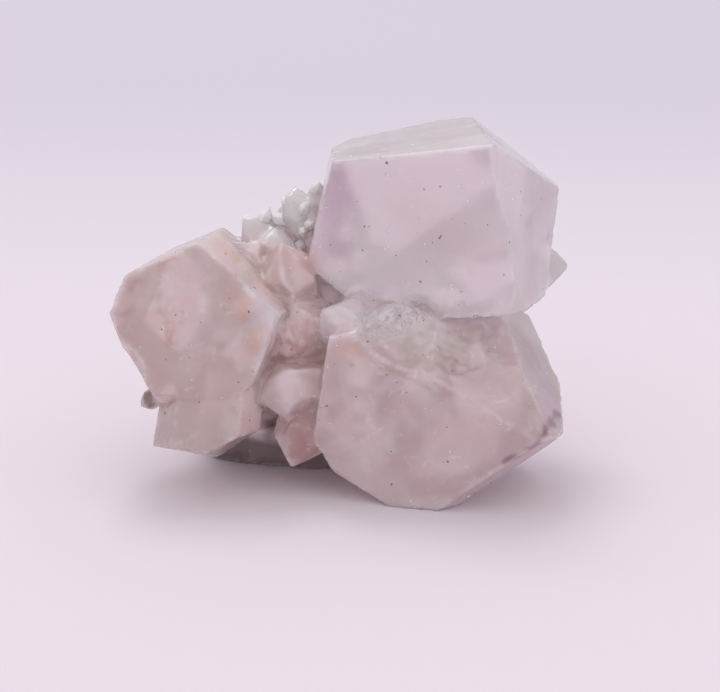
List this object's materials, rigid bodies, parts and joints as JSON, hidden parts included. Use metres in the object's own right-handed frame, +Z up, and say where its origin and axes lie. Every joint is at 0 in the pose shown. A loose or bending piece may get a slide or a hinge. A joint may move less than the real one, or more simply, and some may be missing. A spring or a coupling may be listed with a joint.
{
  "type": "quartz crystal cluster",
  "caption": "Cluster of stubby pale lilac quartz crystals grown together from one root, with a drusy back and a broken underside it rests on.",
  "frame": {"origin": "middle of the footprint of the bounding box, on the surface the cluster rests on", "axes": "+X along the width, from the left crystal to the two large right-hand crystals; -Y towards the side with the large flat faces; +Z up"},
  "size_m": [0.0464, 0.0338, 0.0353],
  "materials": {
    "quartz": "glossy, milky translucent"
  },
  "bodies": {
    "root": {"quartz_cluster": "quartz"}
  },
  "joints": []
}
